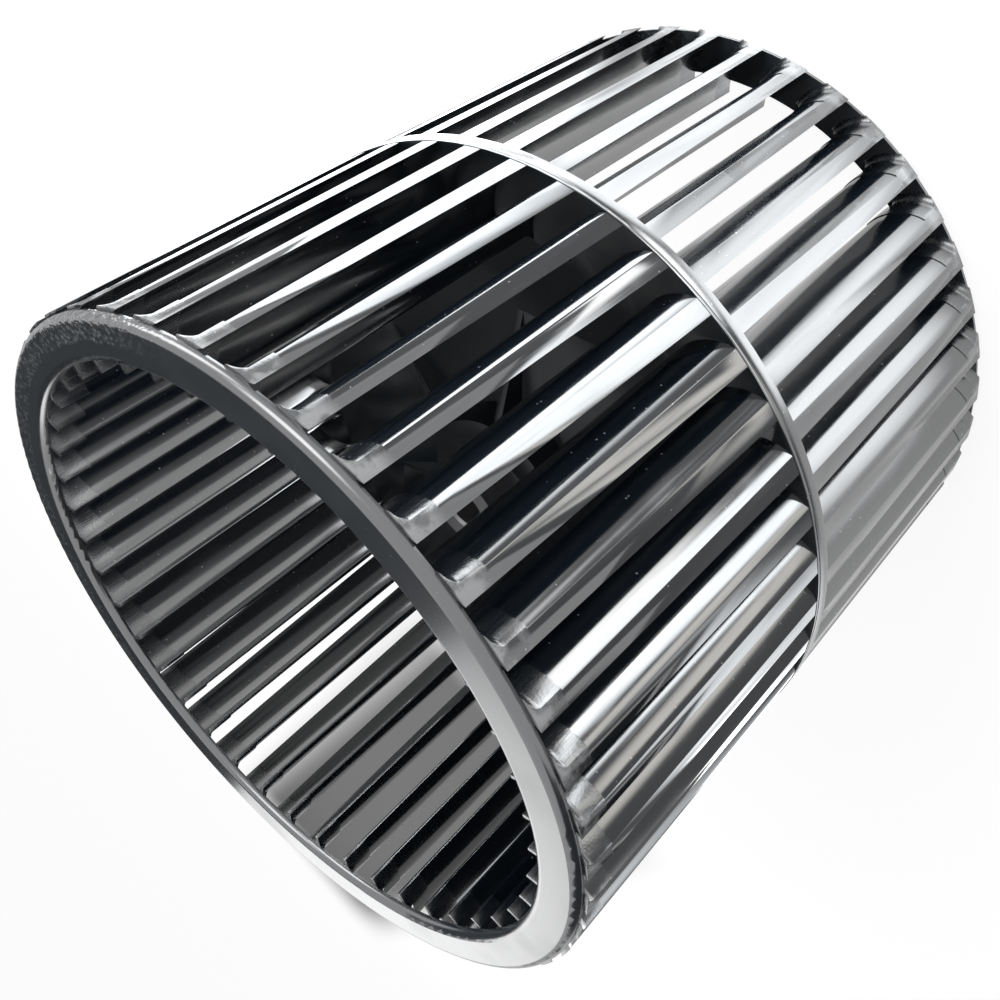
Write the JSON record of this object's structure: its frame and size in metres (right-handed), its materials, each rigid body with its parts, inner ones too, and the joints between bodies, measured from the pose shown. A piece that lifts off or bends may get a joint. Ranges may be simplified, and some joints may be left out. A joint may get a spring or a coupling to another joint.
{
  "type": "blower wheel",
  "caption": "Double-inlet blower wheel with two rows of forward-curved blades on a middle disc, welded inlet rings and a metal hub bush for a motor shaft.",
  "frame": {"origin": "on the shaft axis, in the plane of the lower inlet ring's front face that the wheel stands on", "axes": "+Z along the shaft axis, from the lower inlet to the upper one; +X through the set screw and the first upper blade's inner edge"},
  "size_m": [0.2036, 0.2036, 0.204],
  "materials": {
    "gloss_black_plastic": "glossy black moulding with fine scratches",
    "ring_plastic": "satin charcoal moulding, finely pebbled on its front face",
    "steel": "dark machined steel"
  },
  "bodies": {
    "root": {"wheel": "gloss_black_plastic", "upper_inlet_ring": "ring_plastic", "lower_inlet_ring": "ring_plastic", "hub_bush": "steel", "set_screw": "steel"}
  },
  "joints": []
}
